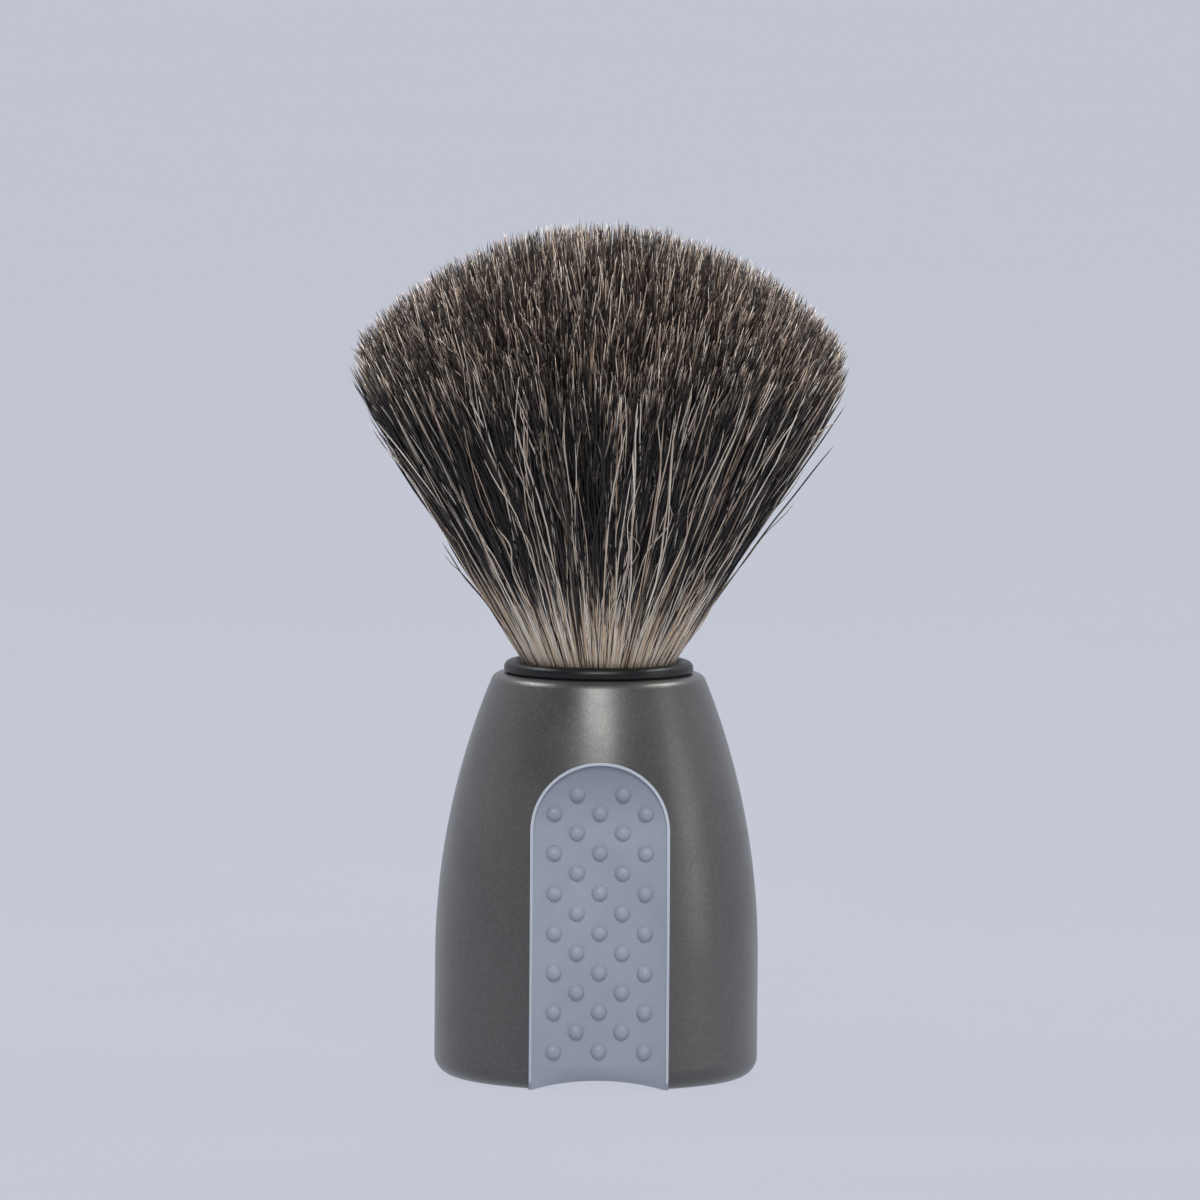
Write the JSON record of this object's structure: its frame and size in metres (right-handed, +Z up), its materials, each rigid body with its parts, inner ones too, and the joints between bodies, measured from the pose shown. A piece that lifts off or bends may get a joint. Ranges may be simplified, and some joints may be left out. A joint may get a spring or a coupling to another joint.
{
  "type": "shaving brush",
  "caption": "Shaving brush with a bell-shaped handle, soft nubbed grips, and a fan of hair in a screw-in collar.",
  "frame": {"origin": "middle of the base, on the plane the brush stands on", "axes": "+Z up along the handle's axis from base to hair, the front grip faces -Y, +X to the right seen from the front"},
  "size_m": [0.0624, 0.0624, 0.108],
  "materials": {
    "handle_paint": "satin",
    "grip_soft": "matte",
    "carrier_plastic": "matte",
    "socket_brass": "satin",
    "ballast_steel": "satin",
    "cap_plastic": "matte",
    "seal_rubber": "matte",
    "screw_steel": "satin",
    "collar_black": "gloss",
    "resin_clear": "gloss",
    "binding_thread": "matte",
    "hair": "satin"
  },
  "bodies": {
    "handle": {"handle_shell": "handle_paint", "front_grip_pad": "grip_soft", "rear_grip_pad": "grip_soft", "front_grip_carrier": "carrier_plastic", "rear_grip_carrier": "carrier_plastic", "threaded_socket": "socket_brass", "ballast_slug": "ballast_steel", "base_cap": "cap_plastic", "base_gasket": "seal_rubber", "base_screws": "screw_steel"},
    "washer": {"collar_washer": "seal_rubber"},
    "head": {"ferrule": "collar_black", "root_resin": "resin_clear", "root_binding": "binding_thread", "hair_knot": "hair"}
  },
  "joints": [
    {"name": "head_rise", "type": "slide", "parent": "handle", "child": "washer", "axis": [0, 0, 1], "range_m": [0, 0.0081]},
    {"name": "head_unscrew", "type": "hinge", "parent": "washer", "child": "head", "pos_m": [0, 0, 0.0518], "axis": [0, 0, 1], "range_deg": [0, 1440]}
  ],
  "couplings": [
    {"joint": "head_rise", "follows": "head_unscrew", "m_per_rad": 0.00031831}
  ]
}
